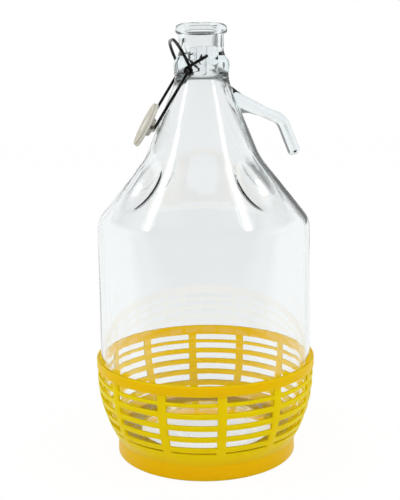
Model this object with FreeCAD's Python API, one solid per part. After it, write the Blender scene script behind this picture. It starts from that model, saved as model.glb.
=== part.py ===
import FreeCAD, Part
import math
import os
from FreeCAD import Vector

# A five litre glass demijohn with a hook handle, a swing stopper on a lever wire,
# and a moulded basket round its foot. Millimetres, Z up.
# The origin is on the bottle's axis, in the plane that the basket's foot stands on.
# The handle points along +X, the stopper hangs on the -X side, and the lever turns about Y.

# Glass: heights are from the floor, radii are from the axis.
BOTTLE_HEIGHT = 364.0
BODY_RADIUS = 90.0
BELLY_RADIUS = 90.8
GLASS_WALL = 3.2
BASE_THICKNESS = 5.0
HEEL_RADIUS = 12.0
BEARING_WIDTH = 12.0
PUNT_HEIGHT = 11.0

# The cone has two slopes, from the shoulder to the bend and from the bend to the throat.
# What stands on the cone and the neck is measured down from the mouth.
SHOULDER_DROP = 161.1
BEND_RADIUS = 48.3
BEND_DROP = 108.9
THROAT_RADIUS = 22.2
THROAT_DROP = 46.2
SHOULDER_ROUND = 20.0
BEND_ROUND = 50.0
THROAT_ROUND = 34.0

# Neck and lip.
BORE_RADIUS = 14.2
NECK_RADIUS = 18.7
COLLAR_RADIUS = 23.2
COLLAR_DROP = 34.0
COLLAR_HALF = 5.0
LIP_RADIUS = 21.4
LIP_DEPTH = 8.8
LIP_CROWN = 4.4
LIP_LAND = 1.6
LIP_FULLNESS = 0.72
MOUTH_ROUND = 1.0
NECK_TAPER = 13.0

# Four oval thumb dishes in the lower cone.
DISH_COUNT = 4
DISH_TURN = 30.0
DISH_RISE = 33.1
DISH_LENGTH = 49.0
DISH_WIDTH = 32.0
DISH_DEPTH = 5.0

# Hook handle: its centre line runs straight from inside the cone, round the elbow and down to the end.
HANDLE_SINK = 5.8
HANDLE_DROP = 58.3
ELBOW_REACH = 68.1
ELBOW_DROP = 78.6
END_REACH = 80.2
END_DROP = 107.8
HANDLE_BEND = 15.0
HANDLE_THICKNESS = 9.0
HANDLE_WIDTH = 18.0
HANDLE_FLARE = 25.5
HANDLE_FLARE_REACH = 32.0
HANDLE_FLARE_SPREAD = 4.0
HANDLE_FLARE_CURVE = 1.5
HANDLE_LEAN_START = 15.0
HANDLE_LEAN_END = 35.0
HANDLE_END_GROWTH = 1.6
HANDLE_STATIONS = 14
HANDLE_TIP_ROUND = 2.6

# Pads on the neck that hold the lever's pins.
PAD_WIDTH = 20.0
PAD_RISE = 8.0
PAD_DROP = 7.0
PAD_FACE = 22.9
PAD_COVER = 1.0
PAD_ROUND = 3.6
SOCKET_DEPTH = 4.2
PIN_DROP = 26.9

# Basket.
BASKET_WALL = 2.3
BASKET_GAP = 0.4
BELLY_HEIGHT = 70.0
BELLY_ROUND = 111.0
RIM_TOP = 84.8
RIM_HEIGHT = 8.7
RIM_STEP = 0.9
RIM_ROUND = 0.9
RIB_COUNT = 12
RIB_TURN = -2.3
RIB_WIDTH = 7.2
RIB_RELIEF = 0.5
TOP_GAP = 5.4
ROW_COUNT = 4
ROW_TOP = 67.6
ROW_PITCH = 10.2
ROW_GAP = 5.5
DRAIN_TOP = 26.6
DRAIN_GAP = 1.6
WAIST_HEIGHT = 14.2
WAIST_STEP = 1.5
FOOT_RADIUS = 77.9
FOOT_WAIST = 77.2
FOOT_ROUND = 1.4
FOOT_WALL = 4.2
FLOOR_THICKNESS = 2.6
FLOOR_OVERHANG = 4.0

# Closure wires.
LEVER_WIRE = 2.6
BAIL_WIRE = 2.5
WIRE_CLEARANCE = 0.08
SIDE_CLEARANCE = 0.15
LEVER_PLANE = 25.0
EYE_REACH = 19.3
EYE_ANGLE = 217.0
LOOP_LENGTH = 27.0
LOOP_LEAN = 26.0
LOOP_ROUND = 19.0
PIN_BEND = 2.4
BAIL_LENGTH = 52.8
BAIL_ANGLE = 237.6
BAIL_BEND = 3.0
BAIL_TAIL = 0.4

# Stopper head and its flat seal. The head turns about the bail's cross run.
STOPPER_RADIUS = 19.6
STOPPER_LEAN = 28.5
PLATE_THICKNESS = 2.0
PLATE_OFFSET = 2.5
PLATE_BEVEL = 0.5
BARREL_RADIUS = 3.9
BARREL_LENGTH = 20.0
TRUMPET_RADIUS = 14.5
TRUMPET_NECK = 7.5
TRUMPET_TOP = 1.6
TRUMPET_FULLNESS = 0.75
SPIGOT_RADIUS = 8.0
SPIGOT_HEIGHT = 1.2
SEAL_THICKNESS = 1.5
SEAL_INSET = 0.7
SEAL_FIT = 0.1

# Values worked out from the sizes above.
SHOULDER_HEIGHT = BOTTLE_HEIGHT - SHOULDER_DROP
BEND_HEIGHT = BOTTLE_HEIGHT - BEND_DROP
THROAT_HEIGHT = BOTTLE_HEIGHT - THROAT_DROP
COLLAR_HEIGHT = BOTTLE_HEIGHT - COLLAR_DROP
PIN_HEIGHT = BOTTLE_HEIGHT - PIN_DROP
DISH_HEIGHT = SHOULDER_HEIGHT + DISH_RISE
LOWER_SLOPE = (BODY_RADIUS - BEND_RADIUS) / (BEND_HEIGHT - SHOULDER_HEIGHT)
UPPER_SLOPE = (BEND_RADIUS - THROAT_RADIUS) / (THROAT_HEIGHT - BEND_HEIGHT)
LOWER_CONE_ANGLE = math.degrees(math.atan(LOWER_SLOPE))
UPPER_CONE_ANGLE = math.degrees(math.atan(UPPER_SLOPE))
SEAT_HEIGHT = WAIST_HEIGHT + FLOOR_THICKNESS / 2
BASKET_RADIUS = BELLY_RADIUS + BASKET_GAP + BASKET_WALL
BELLY_CENTRE = BASKET_RADIUS - BELLY_ROUND
LEVER_RADIUS = LEVER_WIRE / 2
BAIL_RADIUS = BAIL_WIRE / 2
EYE_RADIUS = BAIL_RADIUS + WIRE_CLEARANCE + LEVER_RADIUS
BAIL_PLANE = LEVER_PLANE + LEVER_RADIUS + SIDE_CLEARANCE + BAIL_RADIUS
ARC_MIDDLE = 1 - math.cos(math.radians(45))


def polar(reach, angle):
    """A step in the XZ plane, with the angle in degrees from +X towards +Z."""
    turn = math.radians(angle)
    return Vector(reach * math.cos(turn), 0, reach * math.sin(turn))


PIN = Vector(0, 0, PIN_HEIGHT)
EYE = PIN + polar(EYE_REACH, EYE_ANGLE)
HOLE = EYE + polar(BAIL_LENGTH, BAIL_ANGLE)


class Outline:
    """A half section drawn point by point, radius first and height second."""

    def __init__(self, radius, height):
        self.start = Vector(radius, 0, height)
        self.here = self.start
        self.edges = []

    def line(self, radius, height):
        end = Vector(radius, 0, height)
        self.edges.append(Part.LineSegment(self.here, end).toShape())
        self.here = end

    def arc(self, radius_between, height_between, radius, height):
        end = Vector(radius, 0, height)
        between = Vector(radius_between, 0, height_between)
        self.edges.append(Part.Arc(self.here, between, end).toShape())
        self.here = end

    def corner(self, radius, height, rounding, next_radius, next_height):
        """Goes towards a corner and leaves it, rounded, for the next point."""
        tip = Vector(radius, 0, height)
        arrive = (self.here - tip).normalize()
        leave = (Vector(next_radius, 0, next_height) - tip).normalize()
        half = arrive.getAngle(leave) / 2
        first = tip + arrive * (rounding / math.tan(half))
        last = tip + leave * (rounding / math.tan(half))
        middle = tip + (arrive + leave).normalize() * (rounding / math.sin(half) - rounding)
        self.line(first.x, first.z)
        self.arc(middle.x, middle.z, last.x, last.z)

    def revolve(self):
        if (self.here - self.start).Length > 1e-6:
            self.line(self.start.x, self.start.z)
        face = Part.Face(Part.Wire(self.edges))
        return face.revolve(Vector(0, 0, 0), Vector(0, 0, 1), 360)


def heel_arc(wall_round, base_height, heel_round):
    """The centre of a heel that runs from a flat base into the belly's curve."""
    rise = base_height + heel_round - BELLY_HEIGHT
    centre_radius = BELLY_CENTRE + math.sqrt((wall_round - heel_round) ** 2 - rise ** 2)
    return centre_radius, base_height + heel_round


def draw_heel(outline, wall_round, base_height, heel_round):
    """Draws the heel and the belly, from the flat base up to where the wall is upright."""
    centre_radius, centre_height = heel_arc(wall_round, base_height, heel_round)
    outline.line(centre_radius, base_height)
    slope = math.atan2(centre_height - BELLY_HEIGHT, centre_radius - BELLY_CENTRE)
    middle = (slope - math.pi / 2) / 2
    outline.arc(centre_radius + heel_round * math.cos(middle),
                centre_height + heel_round * math.sin(middle),
                centre_radius + heel_round * math.cos(slope),
                centre_height + heel_round * math.sin(slope))
    outline.arc(BELLY_CENTRE + wall_round * math.cos(slope / 2),
                BELLY_HEIGHT + wall_round * math.sin(slope / 2),
                BELLY_CENTRE + wall_round, BELLY_HEIGHT)


def lower_cone(height, inset):
    return BEND_RADIUS + (BEND_HEIGHT - height) * LOWER_SLOPE - inset / math.cos(math.atan(LOWER_SLOPE))


def upper_cone(height):
    return BEND_RADIUS - (height - BEND_HEIGHT) * UPPER_SLOPE


def height_on_cone(radius, slope, inset):
    """The height at which a cone's line, set inwards by a wall, has this radius."""
    drop = radius + inset / math.cos(math.atan(slope)) - BEND_RADIUS
    return BEND_HEIGHT - drop / slope


def bend_point(inset):
    """Where the two cones meet, for the outer surface or one set inwards by a wall."""
    shift = inset / math.cos(math.atan(UPPER_SLOPE)) - inset / math.cos(math.atan(LOWER_SLOPE))
    height = BEND_HEIGHT - shift / (UPPER_SLOPE - LOWER_SLOPE)
    return lower_cone(height, inset), height


def draw_cones(outline, wall_radius, throat_radius, inset):
    """Draws the shoulder, the two cones and the throat, going up."""
    shoulder_height = height_on_cone(wall_radius, LOWER_SLOPE, inset)
    bend_radius, bend_height = bend_point(inset)
    throat_height = height_on_cone(throat_radius, UPPER_SLOPE, inset)
    outline.corner(wall_radius, shoulder_height, SHOULDER_ROUND - inset, bend_radius, bend_height)
    outline.corner(bend_radius, bend_height, BEND_ROUND, throat_radius, throat_height)
    outline.corner(throat_radius, throat_height, THROAT_ROUND, throat_radius, BOTTLE_HEIGHT)


def draw_punt(outline, edge, floor):
    """The dome that is pushed up into the base, from the axis out to its edge."""
    ball = (edge ** 2 + PUNT_HEIGHT ** 2) / (2 * PUNT_HEIGHT)
    between = floor + PUNT_HEIGHT - ball + math.sqrt(ball ** 2 - edge ** 2 / 4)
    outline.arc(edge / 2, between, edge, floor)


def bulge(start, end, fullness):
    """A point between two others that makes the arc through it full rather than flat."""
    return start[0] + (end[0] - start[0]) * fullness, start[1] + (end[1] - start[1]) * (1 - fullness)


def bottle_outside():
    bearing = heel_arc(BELLY_ROUND - BASKET_WALL - BASKET_GAP, SEAT_HEIGHT, HEEL_RADIUS)[0]
    outline = Outline(0, SEAT_HEIGHT + PUNT_HEIGHT)
    draw_punt(outline, bearing - BEARING_WIDTH, SEAT_HEIGHT)
    draw_heel(outline, BELLY_ROUND - BASKET_WALL - BASKET_GAP, SEAT_HEIGHT, HEEL_RADIUS)
    draw_cones(outline, BODY_RADIUS, THROAT_RADIUS, 0)
    outline.line(THROAT_RADIUS, COLLAR_HEIGHT - COLLAR_HALF)
    collar_top = (THROAT_RADIUS, COLLAR_HEIGHT + COLLAR_HALF)
    outline.arc(COLLAR_RADIUS, COLLAR_HEIGHT, *collar_top)
    neck_start = (NECK_RADIUS, collar_top[1] + NECK_TAPER)
    outline.arc(*bulge(collar_top, neck_start, LIP_FULLNESS), *neck_start)
    lip_bottom = (NECK_RADIUS, BOTTLE_HEIGHT - LIP_DEPTH)
    lip_widest = (LIP_RADIUS, BOTTLE_HEIGHT - LIP_CROWN)
    land = (BORE_RADIUS + MOUTH_ROUND + LIP_LAND, BOTTLE_HEIGHT)
    outline.line(*lip_bottom)
    outline.arc(*bulge(lip_bottom, lip_widest, LIP_FULLNESS), *lip_widest)
    outline.arc(*bulge(lip_widest, land, 1 - LIP_FULLNESS), *land)
    outline.line(0, BOTTLE_HEIGHT)
    return outline.revolve()


def bottle_inside():
    """The hollow, which runs out through the mouth."""
    floor = SEAT_HEIGHT + BASE_THICKNESS
    wall_round = BELLY_ROUND - BASKET_WALL - BASKET_GAP - GLASS_WALL
    heel = HEEL_RADIUS - GLASS_WALL / 2
    outline = Outline(0, floor + PUNT_HEIGHT)
    draw_punt(outline, heel_arc(wall_round, floor, heel)[0] - BEARING_WIDTH, floor)
    draw_heel(outline, wall_round, floor, heel)
    draw_cones(outline, BODY_RADIUS - GLASS_WALL, BORE_RADIUS, GLASS_WALL)
    outline.line(BORE_RADIUS, BOTTLE_HEIGHT - MOUTH_ROUND)
    flare = MOUTH_ROUND * ARC_MIDDLE
    outline.arc(BORE_RADIUS + flare, BOTTLE_HEIGHT - flare, BORE_RADIUS + MOUTH_ROUND, BOTTLE_HEIGHT)
    outline.line(BORE_RADIUS + MOUTH_ROUND, BOTTLE_HEIGHT + LIP_DEPTH)
    outline.line(0, BOTTLE_HEIGHT + LIP_DEPTH)
    return outline.revolve()


def dish_tools(grow):
    """Lemon shaped solids that press the thumb dishes into the lower cone."""
    across = (DISH_WIDTH ** 2 / 4 + DISH_DEPTH ** 2) / (2 * DISH_DEPTH)
    along = (DISH_LENGTH ** 2 / 4 + DISH_DEPTH ** 2) / (2 * DISH_DEPTH)
    offset = along - across
    reach = math.sqrt((along + grow) ** 2 - offset ** 2)
    belly = Vector(across + grow, 0, 0)
    arc = Part.Arc(Vector(0, 0, -reach), belly, Vector(0, 0, reach)).toShape()
    axis = Part.LineSegment(Vector(0, 0, reach), Vector(0, 0, -reach)).toShape()
    lemon = Part.Face(Part.Wire([arc, axis])).revolve(Vector(0, 0, 0), Vector(0, 0, 1), 360)
    lemon.rotate(Vector(0, 0, 0), Vector(0, 1, 0), -LOWER_CONE_ANGLE)
    on_cone = Vector(lower_cone(DISH_HEIGHT, 0), 0, DISH_HEIGHT)
    lemon.translate(on_cone + polar(across - DISH_DEPTH, LOWER_CONE_ANGLE))
    tools = []
    for index in range(DISH_COUNT):
        tool = lemon.copy()
        tool.rotate(Vector(0, 0, 0), Vector(0, 0, 1), DISH_TURN + index * 360 / DISH_COUNT)
        tools.append(tool)
    return tools


def rounded_path(corners, bends):
    """Straight edges between corner points, with a tangent arc at each inner corner."""
    edges = []
    here = corners[0]
    for before, tip, after, bend in zip(corners, corners[1:], corners[2:], bends):
        arrive = (before - tip).normalize()
        leave = (after - tip).normalize()
        half = arrive.getAngle(leave) / 2
        first = tip + arrive * (bend / math.tan(half))
        last = tip + leave * (bend / math.tan(half))
        middle = tip + (arrive + leave).normalize() * (bend / math.sin(half) - bend)
        edges.append(Part.LineSegment(here, first).toShape())
        edges.append(Part.Arc(first, middle, last).toShape())
        here = last
    edges.append(Part.LineSegment(here, corners[-1]).toShape())
    return edges


def handle_section(centre, direction, walked, share):
    """An oval across the handle. Near the cone it is larger and leans back with the cone."""
    flare = max(0, 1 - walked / HANDLE_FLARE_REACH) ** HANDLE_FLARE_CURVE
    thickness = HANDLE_THICKNESS + HANDLE_END_GROWTH * share + HANDLE_FLARE * flare
    width = HANDLE_WIDTH + HANDLE_FLARE_SPREAD * flare
    upright = (HANDLE_LEAN_END - walked) / (HANDLE_LEAN_END - HANDLE_LEAN_START)
    upright = min(1, max(0, upright))
    fall = math.degrees(math.atan2(-direction.z, direction.x))
    lean = (UPPER_CONE_ANGLE + fall) * upright * upright * (3 - 2 * upright)
    across = Vector(0, width / 2, 0)
    upwards = polar(thickness / 2, 90 - fall + lean)
    longest, shortest = (across, upwards) if width > thickness else (upwards, across)
    return Part.Wire(Part.Ellipse(centre + longest, centre + shortest, centre).toShape())


def handle():
    """A hook of oval section, flared where it leaves the cone and blunt at its free end."""
    root_height = BOTTLE_HEIGHT - HANDLE_DROP
    root = Vector(upper_cone(root_height) - HANDLE_SINK, 0, root_height)
    elbow = Vector(ELBOW_REACH, 0, BOTTLE_HEIGHT - ELBOW_DROP)
    end = Vector(END_REACH, 0, BOTTLE_HEIGHT - END_DROP)
    line = Part.Wire(rounded_path([root, elbow, end], [HANDLE_BEND]))
    points = line.discretize(Number=HANDLE_STATIONS)
    sections = []
    for index, centre in enumerate(points):
        behind = points[max(0, index - 1)]
        ahead = points[min(len(points) - 1, index + 1)]
        share = index / (len(points) - 1)
        sections.append(handle_section(centre, (ahead - behind).normalize(), share * line.Length, share))
    solid = Part.makeLoft(sections, True, False)
    tip = [edge for edge in solid.Edges if (edge.CenterOfMass - end).Length < HANDLE_THICKNESS / 2]
    return solid.makeFillet(HANDLE_TIP_ROUND, tip)


def neck_pad(side):
    """One flat faced pad on the neck, with the blind socket for a lever pin."""
    root = BORE_RADIUS + PAD_COVER
    pad = Part.makeBox(PAD_WIDTH, PAD_FACE - root, PAD_RISE + PAD_DROP,
                       Vector(-PAD_WIDTH / 2, root, PIN_HEIGHT - PAD_DROP))
    upright = [edge for edge in pad.Edges if abs(edge.tangentAt(edge.FirstParameter).y) > 0.9]
    pad = pad.makeFillet(PAD_ROUND, upright)
    if side < 0:
        pad.rotate(Vector(0, 0, 0), Vector(0, 0, 1), 180)
    return pad


def socket(side):
    start = Vector(0, side * (PAD_FACE - SOCKET_DEPTH), PIN_HEIGHT)
    return Part.makeCylinder(LEVER_RADIUS + WIRE_CLEARANCE, 2 * SOCKET_DEPTH, start, Vector(0, side, 0))


def make_bottle():
    glass = bottle_outside()
    glass = glass.cut(dish_tools(0))
    glass = glass.fuse([handle(), neck_pad(1), neck_pad(-1)])
    hollow = bottle_inside()
    hollow = hollow.cut(dish_tools(GLASS_WALL))
    glass = glass.cut([hollow, socket(1), socket(-1)])
    return glass.removeSplitter()


def basket_shell(relief):
    """The basket without its gaps. Relief is how far its outside stands proud."""
    floor_bottom = SEAT_HEIGHT - FLOOR_THICKNESS
    bearing = heel_arc(BELLY_ROUND - BASKET_WALL - BASKET_GAP, SEAT_HEIGHT, HEEL_RADIUS)[0]
    floor_edge = bearing - BEARING_WIDTH - FLOOR_OVERHANG
    outer = BELLY_ROUND + relief
    inner = BELLY_ROUND - BASKET_WALL
    waist = math.asin((WAIST_HEIGHT - BELLY_HEIGHT) / outer)
    seat = math.asin((SEAT_HEIGHT - BELLY_HEIGHT) / inner)
    outline = Outline(FOOT_RADIUS - FOOT_ROUND, 0)
    outline.arc(FOOT_RADIUS - FOOT_ROUND * ARC_MIDDLE, FOOT_ROUND * ARC_MIDDLE, FOOT_RADIUS, FOOT_ROUND)
    outline.line(FOOT_WAIST, WAIST_HEIGHT - WAIST_STEP)
    outline.line(BELLY_CENTRE + outer * math.cos(waist), WAIST_HEIGHT)
    outline.arc(BELLY_CENTRE + outer * math.cos(waist / 2), BELLY_HEIGHT + outer * math.sin(waist / 2),
                BASKET_RADIUS + relief, BELLY_HEIGHT)
    outline.line(BASKET_RADIUS + relief, RIM_TOP - RIM_HEIGHT)
    outline.line(BASKET_RADIUS + RIM_STEP, RIM_TOP - RIM_HEIGHT + RIM_STEP)
    outline.line(BASKET_RADIUS + RIM_STEP, RIM_TOP - RIM_ROUND)
    outline.arc(BASKET_RADIUS + RIM_STEP - RIM_ROUND * ARC_MIDDLE, RIM_TOP - RIM_ROUND * ARC_MIDDLE,
                BASKET_RADIUS + RIM_STEP - RIM_ROUND, RIM_TOP)
    outline.line(BASKET_RADIUS - BASKET_WALL, RIM_TOP)
    outline.line(BASKET_RADIUS - BASKET_WALL, BELLY_HEIGHT)
    outline.arc(BELLY_CENTRE + inner * math.cos(seat / 2), BELLY_HEIGHT + inner * math.sin(seat / 2),
                BELLY_CENTRE + inner * math.cos(seat), SEAT_HEIGHT)
    outline.line(floor_edge, SEAT_HEIGHT)
    outline.line(floor_edge, floor_bottom)
    outline.line(FOOT_WAIST - BASKET_WALL, floor_bottom)
    outline.line(FOOT_RADIUS - FOOT_WALL, 0)
    return outline.revolve()


def gap_rings():
    """One ring for each row of gaps, wider than the wall, from the rim downwards."""
    rows = [(RIM_TOP - RIM_HEIGHT, TOP_GAP)]
    for index in range(ROW_COUNT):
        rows.append((ROW_TOP - index * ROW_PITCH, ROW_GAP))
    rows.append((DRAIN_TOP, DRAIN_GAP))
    outside = BASKET_RADIUS + RIB_RELIEF + BASKET_WALL
    return [ring(FOOT_RADIUS, outside, top - height, height) for top, height in rows]


def ring(inside, outside, bottom, height):
    body = Part.makeCylinder(outside, height, Vector(0, 0, bottom))
    return body.cut(Part.makeCylinder(inside, height, Vector(0, 0, bottom)))


def rib_plates():
    """Upright plates on the basket's radii, which keep the ribs between the gaps."""
    plates = []
    for index in range(RIB_COUNT):
        plate = Part.makeBox(BASKET_RADIUS, RIB_WIDTH, RIM_TOP, Vector(BASKET_RADIUS / 2, -RIB_WIDTH / 2, 0))
        plate.rotate(Vector(0, 0, 0), Vector(0, 0, 1), RIB_TURN + index * 360 / RIB_COUNT)
        plates.append(plate)
    return plates


def make_basket():
    plates = rib_plates()
    rings = gap_rings()
    windows = [ring_body.cut(plates) for ring_body in rings]
    basket = basket_shell(0).cut(windows)
    band = Part.makeBox(4 * BASKET_RADIUS, 4 * BASKET_RADIUS, RIM_TOP - RIM_HEIGHT - WAIST_HEIGHT,
                        Vector(-2 * BASKET_RADIUS, -2 * BASKET_RADIUS, WAIST_HEIGHT))
    proud = basket_shell(RIB_RELIEF).cut(basket_shell(0)).common(band)
    ribs = proud.common(Part.makeCompound(plates))
    basket = basket.fuse(ribs.Solids)
    return basket.removeSplitter()


def wire_along(corners, bends, radius):
    """A round wire along straight runs and tangent bends."""
    direction = (corners[1] - corners[0]).normalize()
    section = Part.Wire(Part.makeCircle(radius, corners[0], direction))
    return Part.Wire(rounded_path(corners, bends)).makePipeShell([section], True, False)


def mirrored(solid):
    return solid.mirror(Vector(0, 0, 0), Vector(0, 1, 0))


def make_lever():
    """One wire: pins in the neck, an eye on each side and a thumb loop behind the neck."""
    near = Vector(0, -LEVER_PLANE, 0)
    eye = EYE + near
    pin = PIN + near
    lean = polar(1, 90 + LOOP_LEAN)
    loop_start = eye + Vector(lean.z, 0, -lean.x) * EYE_RADIUS
    loop_end = loop_start + lean * LOOP_LENGTH
    far = Vector(0, 2 * LEVER_PLANE, 0)
    loop = wire_along([loop_start, loop_end, loop_end + far, loop_start + far],
                      [LOOP_ROUND, LOOP_ROUND], LEVER_RADIUS)
    swing = math.degrees(math.asin(EYE_RADIUS / EYE_REACH))
    tangent = math.sqrt(EYE_REACH ** 2 - EYE_RADIUS ** 2)
    leg_end = pin + polar(tangent, EYE_ANGLE - swing)
    pin_tip = PIN - Vector(0, PAD_FACE - SOCKET_DEPTH + SIDE_CLEARANCE, 0)
    leg = wire_along([pin_tip, pin, leg_end], [PIN_BEND], LEVER_RADIUS)
    turn = Part.makeTorus(EYE_RADIUS, LEVER_RADIUS, eye, Vector(0, 1, 0))
    return loop.fuse([leg, mirrored(leg), turn, mirrored(turn)]).removeSplitter()


def make_bail():
    """A wire from eye to eye, whose cross run carries the stopper."""
    inner = Vector(0, LEVER_PLANE - LEVER_RADIUS - BAIL_TAIL, 0)
    outer = Vector(0, BAIL_PLANE, 0)
    corners = [EYE - inner, EYE - outer, HOLE - outer, HOLE + outer, EYE + outer, EYE + inner]
    bends = [PIN_BEND, BAIL_BEND, BAIL_BEND, PIN_BEND]
    return wire_along(corners, bends, BAIL_RADIUS)


def place_stopper(shape):
    """From the stopper's own frame, sealing face down and bore on Y, to where it hangs."""
    shape.rotate(Vector(0, 0, 0), Vector(0, 1, 0), 90 + STOPPER_LEAN)
    shape.translate(HOLE)
    return shape


def make_stopper():
    plate_top = -PLATE_OFFSET
    plate_bottom = plate_top - PLATE_THICKNESS
    outline = Outline(0, plate_bottom - SPIGOT_HEIGHT)
    outline.line(SPIGOT_RADIUS, plate_bottom - SPIGOT_HEIGHT)
    outline.line(SPIGOT_RADIUS, plate_bottom)
    outline.line(STOPPER_RADIUS - PLATE_BEVEL, plate_bottom)
    outline.line(STOPPER_RADIUS, plate_bottom + PLATE_BEVEL)
    outline.line(STOPPER_RADIUS, plate_top - PLATE_BEVEL)
    outline.line(STOPPER_RADIUS - PLATE_BEVEL, plate_top)
    flare = (TRUMPET_RADIUS, plate_top)
    waist = (TRUMPET_NECK, TRUMPET_TOP)
    outline.line(*flare)
    outline.arc(*bulge(flare, waist, TRUMPET_FULLNESS), *waist)
    outline.line(0, TRUMPET_TOP)
    head = outline.revolve()
    start = Vector(0, -BARREL_LENGTH / 2, 0)
    barrel = Part.makeCylinder(BARREL_RADIUS, BARREL_LENGTH, start, Vector(0, 1, 0))
    bore = Part.makeCylinder(BAIL_RADIUS + WIRE_CLEARANCE, 4 * STOPPER_RADIUS,
                             Vector(0, -2 * STOPPER_RADIUS, 0), Vector(0, 1, 0))
    return place_stopper(head.fuse(barrel).cut(bore).removeSplitter())


def make_seal():
    top = -PLATE_OFFSET - PLATE_THICKNESS
    outer = STOPPER_RADIUS - SEAL_INSET
    washer = ring(SPIGOT_RADIUS + SEAL_FIT, outer, top - SEAL_THICKNESS, SEAL_THICKNESS)
    return place_stopper(washer)


def main():
    os.makedirs("parts", exist_ok=True)
    makers = {
        "bottle": make_bottle,
        "basket": make_basket,
        "lever": make_lever,
        "bail": make_bail,
        "stopper": make_stopper,
        "seal": make_seal,
    }
    for name, maker in makers.items():
        shape = maker()
        solid = shape.Solids[0]
        box = solid.BoundBox
        print(name, len(shape.Solids), solid.isValid(), round(solid.Volume / 1000, 2), "cm3",
              round(box.XMin, 1), round(box.XMax, 1), round(box.YMin, 1), round(box.YMax, 1),
              round(box.ZMin, 1), round(box.ZMax, 1))
        solid.exportStep("parts/" + name + ".step")


main()
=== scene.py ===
# %% [markdown]
# A glass demijohn in a moulded basket, dressed for a studio picture.
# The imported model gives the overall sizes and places. The glass and the basket are modelled again
# here, as a maker would see them, and the wires, the stopper and its seal are copied from it.
# The first cell loads that model. Its nodes stay where they are, and what is made here stands for them.

# %% Load the frame
import math

import bpy
from mathutils import Matrix, Vector


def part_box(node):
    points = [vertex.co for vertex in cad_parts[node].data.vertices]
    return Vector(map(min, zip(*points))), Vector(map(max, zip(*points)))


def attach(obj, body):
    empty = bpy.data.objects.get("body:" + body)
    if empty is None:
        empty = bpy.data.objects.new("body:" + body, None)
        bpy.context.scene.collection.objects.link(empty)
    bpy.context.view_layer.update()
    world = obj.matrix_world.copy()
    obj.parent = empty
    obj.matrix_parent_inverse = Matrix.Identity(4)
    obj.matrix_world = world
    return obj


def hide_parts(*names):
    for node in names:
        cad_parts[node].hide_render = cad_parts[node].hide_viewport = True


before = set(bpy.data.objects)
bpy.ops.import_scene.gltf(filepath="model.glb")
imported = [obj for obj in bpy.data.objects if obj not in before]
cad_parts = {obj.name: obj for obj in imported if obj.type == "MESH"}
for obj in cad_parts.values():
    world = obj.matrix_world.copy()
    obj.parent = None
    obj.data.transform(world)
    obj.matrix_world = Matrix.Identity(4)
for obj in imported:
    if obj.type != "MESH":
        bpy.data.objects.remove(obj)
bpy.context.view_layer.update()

MM = 0.001
glass_low, glass_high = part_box("bottle")
basket_low, basket_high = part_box("basket")
print("bottle from", glass_low[:], "to", glass_high[:])

# %% [markdown]
# Blender's operators act on whatever is selected, so a maker clears the selection before each step.
# These helpers do that, open a piece for editing and pick faces or edges by where they lie.

# %% Selection helpers
SELECT_MODES = {"VERT": (True, False, False), "EDGE": (False, True, False), "FACE": (False, False, True)}


def only(piece):
    """Makes one piece the only selected one."""
    if bpy.context.object and bpy.context.object.mode != "OBJECT":
        bpy.ops.object.mode_set(mode="OBJECT")
    bpy.ops.object.select_all(action="DESELECT")
    bpy.context.view_layer.objects.active = piece
    piece.select_set(True)


def choose(piece, kind, test):
    """Opens a piece for editing with those of its elements selected whose middle passes the test."""
    only(piece)
    mesh = piece.data
    for part in (mesh.vertices, mesh.edges, mesh.polygons):
        part.foreach_set("select", [False] * len(part))
    bpy.context.tool_settings.mesh_select_mode = SELECT_MODES[kind]
    if kind == "FACE":
        for face in mesh.polygons:
            face.select = bool(test(face.center, face.normal))
    if kind == "EDGE":
        for edge in mesh.edges:
            ends = [mesh.vertices[index].co for index in edge.vertices]
            edge.select = bool(test((ends[0] + ends[1]) / 2, (ends[1] - ends[0]).normalized()))
    if kind == "VERT":
        for vertex in mesh.vertices:
            vertex.select = bool(test(vertex.co, vertex.normal))
    bpy.ops.object.mode_set(mode="EDIT")


def close_up(piece, distance=0.002 * MM):
    """Merges doubled points and turns the faces outwards."""
    only(piece)
    bpy.ops.object.mode_set(mode="EDIT")
    bpy.ops.mesh.select_all(action="SELECT")
    bpy.ops.mesh.remove_doubles(threshold=distance)
    bpy.ops.mesh.normals_make_consistent(inside=False)
    bpy.ops.object.mode_set(mode="OBJECT")


def modify(piece, kind, **settings):
    """Adds a modifier and applies it at once."""
    only(piece)
    modifier = piece.modifiers.new(kind.lower(), kind)
    for name, value in settings.items():
        setattr(modifier, name, value)
    bpy.ops.object.modifier_apply(modifier=modifier.name)


def smooth(piece, degrees):
    only(piece)
    bpy.ops.object.shade_smooth_by_angle(angle=math.radians(degrees))


def stand_for(piece, node, body):
    """Puts a finished piece on its body and hides the CAD node that it stands for."""
    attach(piece, body)
    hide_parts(node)
    print(piece.name, "stands for", node, "with", len(piece.data.polygons), "faces")


print("helpers ready")

# %% [markdown]
# Bottles and baskets are round, so their shapes start as half sections: a line of points that is
# spun about the axis. Rounds are arcs, worked out from the corner that they soften, and the line is
# drawn as by hand, with one point extruded on to the next.

# %% Outline helpers
def swing(centre, first, last, steps):
    """Points on the short arc about a centre, from the first point to the last."""
    start = math.atan2(first.y - centre.y, first.x - centre.x)
    end = math.atan2(last.y - centre.y, last.x - centre.x)
    turn = (end - start + math.pi) % (2 * math.pi) - math.pi
    reach = (first - centre).length
    angles = [start + turn * step / steps for step in range(steps + 1)]
    return [centre + reach * Vector((math.cos(angle), math.sin(angle))) for angle in angles]


def fillet(before, tip, after, rounding, steps):
    """Points on the arc that rounds off a corner."""
    arrive = (before - tip).normalized()
    leave = (after - tip).normalized()
    half = arrive.angle(leave) / 2
    centre = tip + (arrive + leave).normalized() * rounding / math.sin(half)
    cut_back = rounding / math.tan(half)
    return swing(centre, tip + arrive * cut_back, tip + leave * cut_back, steps)


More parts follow.
